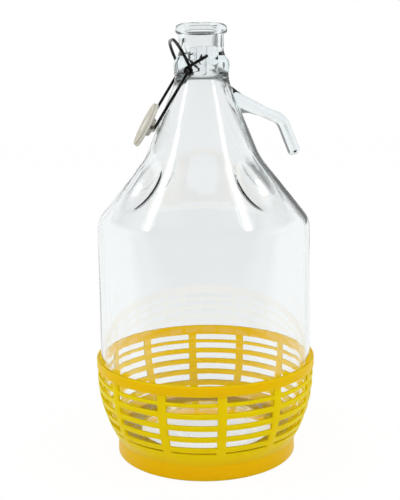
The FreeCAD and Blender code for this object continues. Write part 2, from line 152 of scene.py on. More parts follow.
def through(first, between, last, steps):
    """Points on the arc that passes through three points."""
    to_between = between - first
    to_last = last - first
    twice = 2 * to_between.cross(to_last)
    across = (to_last.y * to_between.length_squared - to_between.y * to_last.length_squared) / twice
    up = (to_between.x * to_last.length_squared - to_last.x * to_between.length_squared) / twice
    return swing(first + Vector((across, up)), first, last, steps)


def run(first, last, spacing):
    """Evenly spaced points along a straight stretch."""
    steps = max(1, round((last - first).length / spacing))
    return [first.lerp(last, step / steps) for step in range(steps + 1)]


def draw(name, outline):
    """Draws an outline in the XZ plane, in millimetres, by extruding one point on to the next."""
    if bpy.context.object and bpy.context.object.mode != "OBJECT":
        bpy.ops.object.mode_set(mode="OBJECT")
    bpy.ops.object.select_all(action="DESELECT")
    bpy.ops.mesh.primitive_plane_add(size=MM)
    piece = bpy.context.object
    piece.name = name
    piece.data.name = name
    bpy.context.tool_settings.mesh_select_mode = SELECT_MODES["VERT"]
    bpy.ops.object.mode_set(mode="EDIT")
    bpy.ops.mesh.merge(type="CENTER")
    here = Vector((0, 0))
    for index, point in enumerate(outline):
        step = point - here
        if step.length < 1e-4:
            continue
        value = (step.x * MM, 0, step.y * MM)
        if index == 0:
            bpy.ops.transform.translate(value=value)
        else:
            bpy.ops.mesh.extrude_region_move(TRANSFORM_OT_translate={"value": value})
        here = point
    bpy.ops.object.mode_set(mode="OBJECT")
    return piece


def spin(piece, degrees, steps):
    """Spins a drawn outline about the Z axis."""
    only(piece)
    bpy.ops.object.mode_set(mode="EDIT")
    bpy.ops.mesh.select_all(action="SELECT")
    bpy.ops.mesh.spin(steps=steps, angle=math.radians(degrees), center=(0, 0, 0), axis=(0, 0, 1))
    bpy.ops.object.mode_set(mode="OBJECT")


print("outline helpers ready")

# %% [markdown]
# The camera stands where the photographer stood: a little above the mouth, looking down at the body.
# It is placed by its distance from the bottle's axis, its height and its tilt.

# %% Camera
CAMERA_TURN = math.radians(10.0)
CAMERA_DISTANCE = 733.2 * MM
CAMERA_HEIGHT = 305.9 * MM
CAMERA_SIDE = -3.4 * MM
CAMERA_PITCH = math.radians(10.078)
CAMERA_ROLL = math.radians(0.784)
CAMERA_LENS = 62.49

level_forward = Vector((math.sin(CAMERA_TURN), math.cos(CAMERA_TURN), 0))
level_right = Vector((math.cos(CAMERA_TURN), -math.sin(CAMERA_TURN), 0))
upward = Vector((0, 0, 1))
forward = level_forward * math.cos(CAMERA_PITCH) - upward * math.sin(CAMERA_PITCH)
tilted_up = level_forward * math.sin(CAMERA_PITCH) + upward * math.cos(CAMERA_PITCH)
camera_x = level_right * math.cos(CAMERA_ROLL) - tilted_up * math.sin(CAMERA_ROLL)
camera_y = level_right * math.sin(CAMERA_ROLL) + tilted_up * math.cos(CAMERA_ROLL)
place = upward * CAMERA_HEIGHT + level_right * CAMERA_SIDE - level_forward * CAMERA_DISTANCE

bpy.ops.object.camera_add(location=place)
camera = bpy.context.object
camera.matrix_world = Matrix((camera_x, camera_y, -forward)).transposed().to_4x4()
camera.location = place
camera.data.lens = CAMERA_LENS
camera.data.clip_start = 10 * MM
bpy.context.scene.camera = camera
bpy.context.scene.view_settings.view_transform = "Standard"
print("camera at", place[:])

# %% [markdown]
# Materials are written as sums. A small class wraps a node's output, so that Python's own signs
# add the Math nodes, and one method makes any other node.

# %% Shader sums
class Signal:
    """One output in a node tree. Adding, taking away and so on add the nodes that do it."""

    def __init__(self, tree, socket):
        self.tree = tree
        self.socket = socket

    def sum(self, operation, first, second):
        made = self.tree.nodes.new("ShaderNodeMath")
        made.operation = operation
        for place_in, value in zip(made.inputs, (first, second)):
            plug(self.tree, place_in, value)
        return Signal(self.tree, made.outputs[0])

    def __add__(self, other):
        return self.sum("ADD", self, other)

    __radd__ = __add__

    def __sub__(self, other):
        return self.sum("SUBTRACT", self, other)

    def __rsub__(self, other):
        return self.sum("SUBTRACT", other, self)

    def __mul__(self, other):
        return self.sum("MULTIPLY", self, other)

    __rmul__ = __mul__

    def __or__(self, other):
        return self.sum("MAXIMUM", self, other)


def plug(tree, socket, value):
    if isinstance(value, Signal):
        tree.links.new(value.socket, socket)
    else:
        socket.default_value = value


def add_node(tree, kind, settings=None, output=0, **inputs):
    """Adds a node: its settings first, then the values or links of its sockets by name."""
    made = tree.nodes.new(kind)
    for name, value in (settings or {}).items():
        if name == "stops":
            ramp = made.color_ramp.elements
            while len(ramp) < len(value):
                ramp.new(0.5)
            for stop, (position, tone) in zip(ramp, value):
                stop.position = position
                stop.color = (*tone, 1)
        else:
            setattr(made, name, value)
    for name, value in inputs.items():
        plug(tree, made.inputs[name.replace("_", " ")], value)
    return Signal(tree, made.outputs[output])


def ramp_over(tree, value, start, end):
    """A mask that goes from 0 to 1 while a value goes from a start to an end."""
    limits = {"From_Min": start, "From_Max": end}
    return add_node(tree, "ShaderNodeMapRange", output="Result", Value=value, **limits)


def dot_product(tree, first, second):
    """How far two directions agree. Each is a link or a fixed vector."""
    made = tree.nodes.new("ShaderNodeVectorMath")
    made.operation = "DOT_PRODUCT"
    plug(tree, made.inputs[0], first)
    plug(tree, made.inputs[1], second)
    return Signal(tree, made.outputs["Value"])


def start_material(name):
    material = bpy.data.materials.new(name)
    material.use_nodes = True
    tree = material.node_tree
    surface = tree.nodes["Principled BSDF"]
    return material, tree, surface


def wear(piece, material):
    piece.data.materials.clear()
    piece.data.materials.append(material)


print("shader sums ready")

# %% [markdown]
# Clear bottle glass looks pale grey through two walls, almost white in the thick handle's highlights,
# and blue-green where the eye looks along a wall. So the surface has a faint grey tint, and the
# blue-green is in the glass itself, as absorption, which grows with the way through it.
# Blown glass is never flat: slow waves that run up the bottle bend what is seen through it.

# %% Glass
def make_glass():
    material, tree, surface = start_material("clear_glass")
    surface.inputs["Base Color"].default_value = (0.972, 0.976, 0.976, 1)
    surface.inputs["Roughness"].default_value = 0.0
    surface.inputs["IOR"].default_value = 1.51
    surface.inputs["Transmission Weight"].default_value = 1.0
    place_on = add_node(tree, "ShaderNodeTexCoord", output="Object")
    drawn_out = add_node(tree, "ShaderNodeMapping", Vector=place_on, Scale=(60, 60, 9))
    waves = add_node(tree, "ShaderNodeTexNoise", output="Fac", Vector=drawn_out, Scale=1.0, Detail=2.0)
    bump = add_node(tree, "ShaderNodeBump", output="Normal", Height=waves, Strength=0.30, Distance=0.5 * MM)
    plug(tree, surface.inputs["Normal"], bump)
    depth = tree.nodes.new("ShaderNodeVolumeAbsorption")
    depth.inputs["Color"].default_value = (0.40, 0.72, 0.78, 1)
    depth.inputs["Density"].default_value = 11.0
    tree.links.new(depth.outputs[0], tree.nodes["Material Output"].inputs["Volume"])
    return material


clear_glass = make_glass()
print("made", clear_glass.name)

# %% [markdown]
# The bottle is blown in one piece. Its outside and its hollow are two spun solids, because the
# handle and the pads join the outside, and the hollow is then taken out of all of them.
# The inner line follows the outer one, set in by the wall.

# %% Bottle sizes
BOTTLE_TOP = glass_high.z / MM
SEAT = glass_low.z / MM
BELLY_RADIUS = -glass_low.x / MM
BODY_RADIUS = 90.0
WALL = 3.2
BASE_THICKNESS = 5.0
PUNT_HEIGHT = 11.0
BEARING_WIDTH = 12.0
HEEL_ROUND = 12.0
BELLY_HEIGHT = 70.0
BELLY_ROUND = 108.3
SHOULDER = BOTTLE_TOP - 161.1
BEND = Vector((48.3, BOTTLE_TOP - 108.9))
THROAT = Vector((22.2, BOTTLE_TOP - 46.2))
LOWER_SLOPE = (BODY_RADIUS - BEND.x) / (BEND.y - SHOULDER)
UPPER_SLOPE = (BEND.x - THROAT.x) / (THROAT.y - BEND.y)
LOWER_ANGLE = math.atan(LOWER_SLOPE)
UPPER_ANGLE = math.atan(UPPER_SLOPE)
BORE = 14.2
NECK_RADIUS = 18.7
LIP_RADIUS = 21.4
MOUTH_ROUND = 1.0
DISH_SPACING = 1.3
ROUND_STEPS = 10
print("cone angles", round(math.degrees(LOWER_ANGLE), 1), round(math.degrees(UPPER_ANGLE), 1))


# %% Bottle outlines
def base_line(seat, wall_round, heel):
    """The punt, the bearing ring, the heel and the belly, from the axis outwards and up."""
    centre_radius = BELLY_RADIUS - BELLY_ROUND
    rise = seat + heel - BELLY_HEIGHT
    heel_radius = centre_radius + math.sqrt((wall_round - heel) ** 2 - rise ** 2)
    edge = heel_radius - BEARING_WIDTH
    ball = (edge ** 2 + PUNT_HEIGHT ** 2) / (2 * PUNT_HEIGHT)
    dome = swing(Vector((0, seat + PUNT_HEIGHT - ball)), Vector((0, seat + PUNT_HEIGHT)), Vector((edge, seat)),
                 2 * ROUND_STEPS)
    slope = math.atan2(rise, heel_radius - centre_radius)
    heel_centre = Vector((heel_radius, seat + heel))
    heel_end = heel_centre + heel * Vector((math.cos(slope), math.sin(slope)))
    corner = swing(heel_centre, Vector((heel_radius, seat)), heel_end, ROUND_STEPS)
    belly = swing(Vector((centre_radius, BELLY_HEIGHT)), heel_end,
                  Vector((centre_radius + wall_round, BELLY_HEIGHT)), 2 * ROUND_STEPS)
    return dome + corner + belly


def cone_line(inset, wall_radius, throat_radius):
    """The wall, the shoulder, both cones and the throat, going up, set in by the glass wall."""
    def height_at(radius, slope, angle):
        return BEND.y - (radius + inset / math.cos(angle) - BEND.x) / slope

    meet_shift = inset / math.cos(UPPER_ANGLE) - inset / math.cos(LOWER_ANGLE)
    bend_height = BEND.y - meet_shift / (UPPER_SLOPE - LOWER_SLOPE)
    bend_radius = BEND.x + (BEND.y - bend_height) * LOWER_SLOPE - inset / math.cos(LOWER_ANGLE)
    bend = Vector((bend_radius, bend_height))
    shoulder = Vector((wall_radius, height_at(wall_radius, LOWER_SLOPE, LOWER_ANGLE)))
    throat = Vector((throat_radius, height_at(throat_radius, UPPER_SLOPE, UPPER_ANGLE)))
    above = Vector((throat_radius, BOTTLE_TOP))
    below = Vector((wall_radius, BELLY_HEIGHT))
    shoulder_line = fillet(below, shoulder, bend, 20.0 - inset, 2 * ROUND_STEPS)
    bend_line = fillet(shoulder, bend, throat, 50.0, ROUND_STEPS)
    throat_line = fillet(bend, throat, above, 34.0, ROUND_STEPS)
    return (shoulder_line + run(shoulder_line[-1], bend_line[0], DISH_SPACING) + bend_line
            + run(bend_line[-1], throat_line[0], 4 * DISH_SPACING) + throat_line)


def full_between(first, last, fullness):
    return Vector((first.x + (last.x - first.x) * fullness, first.y + (last.y - first.y) * (1 - fullness)))


def neck_line():
    """The collar, the taper, the neck and the rounded lip, up to the mouth's land."""
    collar = Vector((23.2, BOTTLE_TOP - 34.0))
    collar_low = Vector((THROAT.x, collar.y - 5.0))
    collar_high = Vector((THROAT.x, collar.y + 5.0))
    neck = Vector((NECK_RADIUS, collar_high.y + 13.0))
    lip_low = Vector((NECK_RADIUS, BOTTLE_TOP - 8.8))
    lip_side = Vector((LIP_RADIUS, BOTTLE_TOP - 4.4))
    land = Vector((BORE + 2.6, BOTTLE_TOP))
    return (through(collar_low, collar, collar_high, ROUND_STEPS)
            + through(collar_high, full_between(collar_high, neck, 0.72), neck, ROUND_STEPS)
            + through(lip_low, full_between(lip_low, lip_side, 0.72), lip_side, ROUND_STEPS)
            + through(lip_side, full_between(lip_side, land, 0.28), land, ROUND_STEPS))


outside_line = (base_line(SEAT, BELLY_ROUND, HEEL_ROUND) + cone_line(0, BODY_RADIUS, THROAT.x)
                + neck_line() + [Vector((0, BOTTLE_TOP))])
flare_centre = Vector((BORE + MOUTH_ROUND, BOTTLE_TOP - MOUTH_ROUND))
flared = [flare_centre + MOUTH_ROUND * Vector((-math.cos(angle), math.sin(angle)))
          for angle in [math.radians(22.5 * step) for step in range(5)]]
hollow_line = (base_line(SEAT + BASE_THICKNESS, BELLY_ROUND - WALL, HEEL_ROUND - WALL / 2)
               + cone_line(WALL, BODY_RADIUS - WALL, BORE) + flared
               + [Vector((BORE + MOUTH_ROUND, BOTTLE_TOP + 5)), Vector((0, BOTTLE_TOP + 5))])
print("outside", len(outside_line), "points, hollow", len(hollow_line), "points")

# %% [markdown]
# Four thumb dishes are pressed into the cone while the glass is soft, so the wall keeps its
# thickness: both surfaces go in by the same shape. A dish is an oval bowl. One long edge is crisp
# and the other soft, which is how the two in the picture look. Its cause there isn't known.

# %% Thumb dishes
DISH_HEIGHT = SHOULDER + 33.1
DISH_LENGTH = 49.0
DISH_WIDTH = 29.0
DISH_DEPTH = 5.0
DISH_EDGE = 0.35
DISH_SOFT_EDGE = 2.2
DISH_TURNS = [math.radians(30 + 90 * index) for index in range(4)]
DISH_SOFT_SIDES = (-1, 1, -1, 1)


def press_dishes(piece):
    """Moves the points of both walls inwards where a dish is."""
    centre_radius = BEND.x + (BEND.y - DISH_HEIGHT) * LOWER_SLOPE
    centre = Vector((centre_radius, 0, DISH_HEIGHT)) * MM
    inwards = -Vector((math.cos(LOWER_ANGLE), 0, math.sin(LOWER_ANGLE)))
    upwards = Vector((-math.sin(LOWER_ANGLE), 0, math.cos(LOWER_ANGLE)))
    for vertex in piece.data.vertices:
        if abs(vertex.co.z - centre.z) > DISH_LENGTH * MM:
            continue
        for turn, soft_side in zip(DISH_TURNS, DISH_SOFT_SIDES):
            spun = Matrix.Rotation(-turn, 3, "Z") @ vertex.co
            if spun.x < 0:
                continue
            along = (spun - centre).dot(upwards) / MM
            bowl = DISH_DEPTH * (1 - (2 * along / DISH_LENGTH) ** 2 - (2 * spun.y / MM / DISH_WIDTH) ** 2)
            if bowl > -2 * DISH_DEPTH:
                outer_side = max(0, soft_side * spun.y / MM / DISH_WIDTH)
                edge = DISH_EDGE + (DISH_SOFT_EDGE - DISH_EDGE) * min(1, 2 * outer_side)
                depth = (bowl + math.hypot(bowl, edge)) / 2
                vertex.co += Matrix.Rotation(turn, 3, "Z") @ inwards * depth * MM


SPIN_STEPS = 256
bottle = draw("demijohn_glass", outside_line)
spin(bottle, 360, SPIN_STEPS)
close_up(bottle)
press_dishes(bottle)
hollow = draw("hollow", hollow_line)
spin(hollow, 360, SPIN_STEPS)
close_up(hollow)
press_dishes(hollow)
print("spun", len(bottle.data.vertices), "and", len(hollow.data.vertices), "points")

# %% [markdown]
# The hook handle is drawn out of the hot cone: wide and leaning with the cone at its root, then an
# even oval down to a blunt tip. A grid is wrapped round its centre line, one ring at each station.

# %% Handle
HANDLE_RINGS = 56
HANDLE_SIDES = 40
TIP_ROUND = 3.2


def handle_path():
    """The centre line, from inside the cone round the elbow to the tip."""
    root_height = BOTTLE_TOP - 58.3
    root = Vector((BEND.x - (root_height - BEND.y) * UPPER_SLOPE - 5.8, root_height))
    elbow = Vector((68.1, BOTTLE_TOP - 78.6))
    tip = Vector((80.2, BOTTLE_TOP - 107.8))
    bend = fillet(root, elbow, tip, 15.0, 60)
    return run(root, bend[0], 0.25) + bend + run(bend[-1], tip, 0.25)


def walk(path):
    """The distance walked to each point of a path."""
    reached = [0.0]
    for before, after in zip(path, path[1:]):
        reached.append(reached[-1] + (after - before).length)
    return reached


def at_distance(path, reached, distance):
    index = max(1, next((i for i, walked in enumerate(reached) if walked >= distance), len(path) - 1))
    span = reached[index] - reached[index - 1]
    share = 0 if span == 0 else (distance - reached[index - 1]) / span
    return path[index - 1].lerp(path[index], min(1, share)), (path[index] - path[index - 1]).normalized()


def make_handle():
    path = [point for before, point in zip([None] + handle_path(), handle_path()) if point != before]
    reached = walk(path)
    length = reached[-1]
    bpy.ops.object.select_all(action="DESELECT")
    bpy.ops.mesh.primitive_grid_add(x_subdivisions=HANDLE_SIDES, y_subdivisions=HANDLE_RINGS - 1, size=MM)
    piece = bpy.context.object
    piece.name = "handle"
    columns = HANDLE_SIDES + 1
    for ring in range(HANDLE_RINGS):
        share = ring / (HANDLE_RINGS - 2)
        distance = min(length, length * math.sin(min(1, share) * math.pi / 2) ** 0.85)
        centre, direction = at_distance(path, reached, distance)
        flare = max(0, 1 - distance / 32.0) ** 1.5
        thickness = 9.0 + 1.6 * distance / length + 25.5 * flare
        width = 18.0 + 4.0 * flare
        upright = min(1, max(0, (35.0 - distance) / 20.0))
        fall = math.atan2(-direction.y, direction.x)
        lean = (UPPER_ANGLE + fall) * upright * upright * (3 - 2 * upright)
        near_tip = max(0, TIP_ROUND - (length - distance))
        shrink = TIP_ROUND - math.sqrt(TIP_ROUND ** 2 - near_tip ** 2)
        if ring == HANDLE_RINGS - 1:
            shrink = thickness
        over = Vector((math.cos(math.pi / 2 - fall + lean), math.sin(math.pi / 2 - fall + lean)))
        half_high = max(0, thickness / 2 - shrink)
        half_wide = max(0, width / 2 - shrink) if half_high > 0 else 0
        for column in range(columns):
            angle = 2 * math.pi * column / HANDLE_SIDES
            rise = over * half_high * math.cos(angle)
            point = Vector((centre.x + rise.x, half_wide * math.sin(angle), centre.y + rise.y))
            piece.data.vertices[ring * columns + column].co = point * MM
    close_up(piece)
    only(piece)
    bpy.ops.object.mode_set(mode="EDIT")
    bpy.context.tool_settings.mesh_select_mode = SELECT_MODES["EDGE"]
    bpy.ops.mesh.select_all(action="DESELECT")
    bpy.ops.mesh.select_non_manifold()
    bpy.ops.mesh.fill()
    bpy.ops.object.mode_set(mode="OBJECT")
    close_up(piece)
    return piece


handle = make_handle()
print("handle", len(handle.data.polygons), "faces")

# %% [markdown]
# Each side of the neck has a flat faced pad with a blind hole for a pin of the wire lever.
# A cube is sized, its upright corners are bevelled wide and the rest a little, as moulds do.

# %% Pads and pin holes
PIN_HEIGHT = BOTTLE_TOP - 26.9
PAD_FACE = 22.9
PAD_ROOT = BORE + 1.0
PAD_LOW = PIN_HEIGHT - 7.0
PAD_HIGH = PIN_HEIGHT + 8.0
PAD_WIDTH = 20.0
PIN_HOLE = 1.38
PIN_DEPTH = 4.2


def make_pad(side):
    middle = Vector((0, side * (PAD_FACE + PAD_ROOT) / 2, (PAD_LOW + PAD_HIGH) / 2))
    bpy.ops.object.select_all(action="DESELECT")
    bpy.ops.mesh.primitive_cube_add(size=1)
    pad = bpy.context.object
    size = Vector((PAD_WIDTH, PAD_FACE - PAD_ROOT, PAD_HIGH - PAD_LOW)) * MM
    pad.data.transform(Matrix.Diagonal((*size, 1)))
    pad.data.transform(Matrix.Translation(middle * MM))
    choose(pad, "EDGE", lambda point, direction: abs(direction.y) > 0.9)
    bpy.ops.mesh.bevel(offset=3.6 * MM, segments=6, affect="EDGES")
    face = side * PAD_FACE * MM
    choose(pad, "EDGE", lambda point, direction: abs(point.y - face) < 1e-6 and abs(direction.y) < 0.1)
    bpy.ops.mesh.bevel(offset=0.8 * MM, segments=3, affect="EDGES")
    bpy.ops.object.mode_set(mode="OBJECT")
    close_up(pad)
    return pad


def make_pin_hole(side):
    bpy.ops.object.select_all(action="DESELECT")
    bpy.ops.mesh.primitive_cylinder_add(vertices=32, radius=PIN_HOLE * MM, depth=2 * PIN_DEPTH * MM)
    hole = bpy.context.object
    hole.data.transform(Matrix.Rotation(math.pi / 2, 4, "X"))
    hole.data.transform(Matrix.Translation(Vector((0, side * PAD_FACE, PIN_HEIGHT)) * MM))
    return hole


def combine(piece, tool, operation):
    """Joins, or cuts, a piece with a tool that is then thrown away."""
    modify(piece, "BOOLEAN", object=tool, operation=operation, solver="MANIFOLD")
    bpy.data.objects.remove(tool)


for addition in (handle, make_pad(1), make_pad(-1)):
    combine(bottle, addition, "UNION")
combine(bottle, hollow, "DIFFERENCE")
for side in (1, -1):
    combine(bottle, make_pin_hole(side), "DIFFERENCE")
print("bottle", len(bottle.data.polygons), "faces")

# %% Finish the bottle
close_up(bottle, 0.01 * MM)
smooth(bottle, 40)
wear(bottle, clear_glass)
stand_for(bottle, "bottle", "vessel")

# %% [markdown]
# The basket is one moulding. One twelfth of it is spun, from the middle of a rib to the middle of
# the next, and its gaps are opened by deleting the faces of both walls and bridging the holes.
# Twelve copies are then merged into one closed shell, and all its edges are rounded.

# %% Basket sizes
BASKET_WALL = 2.3
RIM_RADIUS = -basket_low.x / MM
RIM_TOP = basket_high.z / MM
RIM_STEP = 0.9
RIM_LOW = RIM_TOP - 8.7
BASKET_RADIUS = RIM_RADIUS - RIM_STEP
BASKET_ROUND = 111.0
RIB_COUNT = 12
RIB_WIDTH = 7.2
RIB_TURN = -2.3
RIB_CROWN = 0.5
GAPS = ([(RIM_LOW - 5.4, RIM_LOW)] + [(67.6 - 10.2 * row - 5.5, 67.6 - 10.2 * row) for row in range(4)]
        + [(25.0, 26.6)])
FOOT_RADIUS = 77.9
FOOT_WAIST = 77.2
WAIST_HEIGHT = 14.2
SECTOR_STEPS = 10
EDGE_ROUND = 0.6


def belly_at(height, shell_round):
    """The basket's radius at a height, on its outer or inner surface."""
    centre = BASKET_RADIUS - BASKET_ROUND
    drop = min(0, height - BELLY_HEIGHT)
    return centre + math.sqrt(shell_round ** 2 - drop ** 2)


def basket_line():
    """The closed section: up the outside from the foot, over the rim and down the inside."""
    levels = sorted(level for gap in GAPS for level in gap)
    outside = [Vector((belly_at(level, BASKET_ROUND), level)) for level in [WAIST_HEIGHT] + levels]
    inside = [Vector((belly_at(level, BASKET_ROUND - BASKET_WALL), level)) for level in [SEAT] + levels]
    foot_inside = FOOT_RADIUS - 4.2
    floor_low = SEAT - 2.6
    bearing = 72.9 - BEARING_WIDTH - 4.0
    return ([Vector((FOOT_RADIUS, 0)), Vector((FOOT_WAIST, WAIST_HEIGHT - 1.5))] + outside
            + [Vector((RIM_RADIUS, RIM_LOW + RIM_STEP)), Vector((RIM_RADIUS, RIM_TOP)),
               Vector((BASKET_RADIUS - BASKET_WALL, RIM_TOP))] + inside[::-1]
            + [Vector((bearing, SEAT)), Vector((bearing, floor_low)),
               Vector((FOOT_WAIST - BASKET_WALL, floor_low)), Vector((foot_inside, 0)),
               Vector((FOOT_RADIUS, 0))])


def shape_rib(piece):
    """Turns the even columns of a sector into two half ribs of constant width with a gap between."""
    half_sector = math.pi / RIB_COUNT
    column = 2 * half_sector / SECTOR_STEPS
    for vertex in piece.data.vertices:
        radius = math.hypot(vertex.co.x, vertex.co.y)
        angle = math.atan2(vertex.co.y, vertex.co.x)
        rib = math.asin(RIB_WIDTH / 2 * MM / radius)
        inner = half_sector - column
        if abs(angle) <= inner + 1e-4:
            angle *= (half_sector - rib) / inner
        vertex.co.x = radius * math.cos(angle)
        vertex.co.y = radius * math.sin(angle)


def open_gaps(piece):
    """Opens each gap through both walls and closes its sides."""
    half_sector = math.pi / RIB_COUNT
    for low, high in GAPS:
        def in_gap(middle, normal):
            angle = abs(math.atan2(middle.y, middle.x))
            rib = math.asin(RIB_WIDTH / 2 * MM / math.hypot(middle.x, middle.y))
            return low * MM < middle.z < high * MM and angle < half_sector - rib
        choose(piece, "FACE", in_gap)
        bpy.ops.mesh.delete(type="FACE")
        bpy.ops.object.mode_set(mode="OBJECT")
        edge_faces = {}
        for face in piece.data.polygons:
            for key in face.edge_keys:
                edge_faces[key] = edge_faces.get(key, 0) + 1
        open_edges = {key for key, count in edge_faces.items() if count == 1}
        only(piece)
        for part in (piece.data.vertices, piece.data.edges, piece.data.polygons):
            part.foreach_set("select", [False] * len(part))
        bpy.context.tool_settings.mesh_select_mode = SELECT_MODES["EDGE"]
        for edge in piece.data.edges:
            middle = (piece.data.vertices[edge.vertices[0]].co + piece.data.vertices[edge.vertices[1]].co) / 2
            angle = abs(math.atan2(middle.y, middle.x))
            near = (low - 0.1) * MM < middle.z < (high + 0.1) * MM and angle < half_sector - 1e-3
            edge.select = edge.key in open_edges and near
        bpy.ops.object.mode_set(mode="EDIT")
        bpy.ops.mesh.bridge_edge_loops()
        bpy.ops.object.mode_set(mode="OBJECT")


basket = draw("basket_moulding", basket_line())
spin(basket, 360 / RIB_COUNT, SECTOR_STEPS)
close_up(basket)
sideways = sum(vertex.co.y for vertex in basket.data.vertices)
outwards = sum(vertex.co.x for vertex in basket.data.vertices)
basket.data.transform(Matrix.Rotation(-math.atan2(sideways, outwards), 4, "Z"))
shape_rib(basket)
open_gaps(basket)
print("one sector", len(basket.data.polygons), "faces")


# %% Basket assembly
def copy_round(piece, count):
    """Copies a sector round the axis and merges the copies."""
    only(piece)
    copies = []
    for index in range(1, count):
        bpy.ops.object.select_all(action="DESELECT")
        twin = piece.copy()
        twin.data = piece.data.copy()
        bpy.context.collection.objects.link(twin)
        twin.data.transform(Matrix.Rotation(2 * math.pi * index / count, 4, "Z"))
        copies.append(twin)
    only(piece)
    for twin in copies:
        twin.select_set(True)
    bpy.ops.object.join()
    close_up(piece, 0.01 * MM)


copy_round(basket, RIB_COUNT)
basket.data.transform(Matrix.Rotation(math.radians(RIB_TURN) + math.pi / RIB_COUNT, 4, "Z"))
for vertex in basket.data.vertices:
    spot = vertex.co
    radius = math.hypot(spot.x, spot.y)
    turn = (math.atan2(spot.y, spot.x) - math.radians(RIB_TURN)) % (2 * math.pi / RIB_COUNT)
    on_rib = min(turn, 2 * math.pi / RIB_COUNT - turn) < 0.01
    outer = radius > (belly_at(spot.z / MM, BASKET_ROUND) - 0.1) * MM
    if on_rib and outer and (WAIST_HEIGHT + 1) * MM < spot.z < (RIM_LOW - 0.5) * MM:
        vertex.co.x *= 1 + RIB_CROWN * MM / radius
        vertex.co.y *= 1 + RIB_CROWN * MM / radius
modify(basket, "BEVEL", width=EDGE_ROUND * MM, segments=3, limit_method="ANGLE", angle_limit=math.radians(28))
smooth(basket, 50)
print("basket", len(basket.data.polygons), "faces")

# %% [markdown]
# The plastic is bright and lets some light through: the thin slats and ribs glow lemon yellow. The rim
# and foot ring get a warmer, deeper tone, which is painted shade, and a mask on the height keeps the two apart.
# Its surface has the faint orange peel of a mould. The backdrop shines through the plastic from
# behind, and the inner side has a glow of its own that stands for that light.

# %% Plastic
THIN_YELLOW = (0.97, 0.66, 0.0)
# Painted shade: the deeper yellow that the rim and the foot ring are given.
SHADED_YELLOW = (0.93, 0.56, 0.0)
BLACK = (0.0, 0.0, 0.0)
INNER_GLOW = (0.62, 0.42, 0.0)


def make_plastic():
    material, tree, surface = start_material("yellow_plastic")
    place_on = add_node(tree, "ShaderNodeTexCoord", output="Object")
    clouds = add_node(tree, "ShaderNodeTexNoise", output="Fac", Vector=place_on, Scale=45.0, Detail=3.0)
    height = add_node(tree, "ShaderNodeSeparateXYZ", output="Z", Vector=place_on)
    # Painted shade: the foot ring and the rim get the deeper yellow, and the clouds add a random mottle.
    foot = ramp_over(tree, height, (WAIST_HEIGHT + 7) * MM, (WAIST_HEIGHT - 6) * MM)
    rim = ramp_over(tree, height, (RIM_LOW - 2) * MM, (RIM_LOW + 2) * MM)
    shade_and_mottle = (foot | rim) * 0.9 + clouds * 0.1
    tone = add_node(tree, "ShaderNodeValToRGB", {"stops": [(0.0, THIN_YELLOW), (0.9, SHADED_YELLOW)]}, Fac=shade_and_mottle)
    plug(tree, surface.inputs["Base Color"], tone)
    peel = add_node(tree, "ShaderNodeTexNoise", output="Fac", Vector=place_on, Scale=900.0, Detail=2.0)
    bump = add_node(tree, "ShaderNodeBump", output="Normal", Height=peel, Strength=0.15, Distance=0.1 * MM)
    plug(tree, surface.inputs["Normal"], bump)
    plug(tree, surface.inputs["Roughness"], clouds * 0.12 + 0.32)
    surface.inputs["Specular IOR Level"].default_value = 0.08
    surface.inputs["Subsurface Weight"].default_value = 0.85
    surface.inputs["Subsurface Radius"].default_value = (1.0, 0.75, 0.05)
    surface.inputs["Subsurface Scale"].default_value = 5 * MM
    outwards = add_node(tree, "ShaderNodeMapping", Vector=place_on, Scale=(1, 1, 0))
    normal = add_node(tree, "ShaderNodeTexCoord", output="Normal")
    inner_side = ramp_over(tree, dot_product(tree, outwards, normal), 0.0, -BASKET_RADIUS * MM)
    glow = add_node(tree, "ShaderNodeValToRGB", {"stops": [(0.0, BLACK), (1.0, INNER_GLOW)]}, Fac=inner_side)
    plug(tree, surface.inputs["Emission Color"], glow)
    surface.inputs["Emission Strength"].default_value = 1.0
    return material


wear(basket, make_plastic())
stand_for(basket, "basket", "vessel")

# %% [markdown]
# The wires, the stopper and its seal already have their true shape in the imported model. Its mesh is
# loose triangles, so a copy is merged and shaded smooth.

# %% Closure pieces
def merged_copy(node, name, body):
    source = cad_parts[node]
    piece = bpy.data.objects.new(name, source.data.copy())
    bpy.context.scene.collection.objects.link(piece)
    only(piece)
    bpy.ops.mesh.customdata_custom_splitnormals_clear()
    close_up(piece)
    smooth(piece, 35)
    stand_for(piece, node, body)
    return piece


lever = merged_copy("lever", "lever_wire", "lever")
bail = merged_copy("bail", "bail_wire", "bail")
stopper = merged_copy("stopper", "stopper_head", "stopper")
seal = merged_copy("seal", "seal_disc", "stopper")


# %% Closure materials
def make_wire():
    material, tree, surface = start_material("dark_wire")
    place_on = add_node(tree, "ShaderNodeTexCoord", output="Object")
    grime = add_node(tree, "ShaderNodeTexNoise", output="Fac", Vector=place_on, Scale=400.0, Detail=4.0)
    ramp = add_node(tree, "ShaderNodeValToRGB",
                    {"stops": [(0.35, (0.02, 0.02, 0.022)), (0.65, (0.10, 0.10, 0.10))]}, Fac=grime)
    plug(tree, surface.inputs["Base Color"], ramp)
    plug(tree, surface.inputs["Roughness"], grime * 0.2 + 0.2)
    surface.inputs["Metallic"].default_value = 1.0
    return material


def make_cream(name, tone, rough):
    material, tree, surface = start_material(name)
    place_on = add_node(tree, "ShaderNodeTexCoord", output="Object")
    clouds = add_node(tree, "ShaderNodeTexNoise", output="Fac", Vector=place_on, Scale=120.0, Detail=3.0)
    darker = tuple(channel * 0.9 for channel in tone)
    ramp = add_node(tree, "ShaderNodeValToRGB", {"stops": [(0.3, darker), (0.7, tone)]}, Fac=clouds)
    plug(tree, surface.inputs["Base Color"], ramp)
    plug(tree, surface.inputs["Roughness"], clouds * 0.1 + rough)
    surface.inputs["Subsurface Weight"].default_value = 0.2
    surface.inputs["Subsurface Radius"].default_value = (1.0, 0.9, 0.7)
    surface.inputs["Subsurface Scale"].default_value = 2 * MM
    return material


